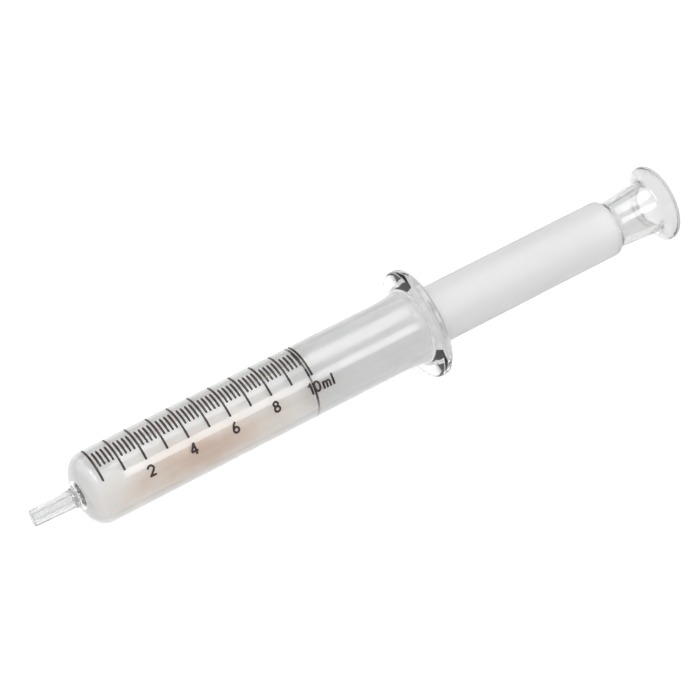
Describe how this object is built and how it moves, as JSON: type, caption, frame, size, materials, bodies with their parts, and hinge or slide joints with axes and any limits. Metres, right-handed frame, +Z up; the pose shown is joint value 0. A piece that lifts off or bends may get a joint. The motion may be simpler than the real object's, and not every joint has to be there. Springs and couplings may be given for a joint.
{
  "type": "glass syringe",
  "caption": "Reusable glass syringe: a barrel with a slip tip, finger flange and fired volume scale, and a hollow ground plunger with a thumb flange that slides in its bore.",
  "frame": {"origin": "on the resting plane, under the middle of the whole length with the plunger at the full mark", "axes": "+X along the syringe's axis from the tip to the thumb flange, +Z up through the middle of the scale"},
  "size_m": [0.1816, 0.0288, 0.0288],
  "materials": {
    "clear_glass": "clear, fire polished outside, bore ground to a fine matt",
    "ground_glass": "ground matt along the sliding length, clear neck and thumb flange",
    "enamel": "dark brown fired enamel, satin"
  },
  "bodies": {
    "barrel": {"barrel": "clear_glass", "scale_line_00": "enamel", "scale_line_01": "enamel", "scale_line_02": "enamel", "scale_line_03": "enamel", "scale_line_04": "enamel", "scale_line_05": "enamel", "scale_line_06": "enamel", "scale_line_07": "enamel", "scale_line_08": "enamel", "scale_line_09": "enamel", "scale_line_10": "enamel", "numeral_2": "enamel", "numeral_4": "enamel", "numeral_6": "enamel", "numeral_8": "enamel", "numeral_10_digit_1": "enamel", "numeral_10_digit_2": "enamel", "unit_m": "enamel", "unit_l": "enamel"},
    "plunger": {"plunger": "ground_glass"}
  },
  "joints": [
    {"name": "plunger_slide", "type": "slide", "parent": "barrel", "child": "plunger", "axis": [1, 0, 0], "range_m": [-0.05659, 0.0328]}
  ]
}
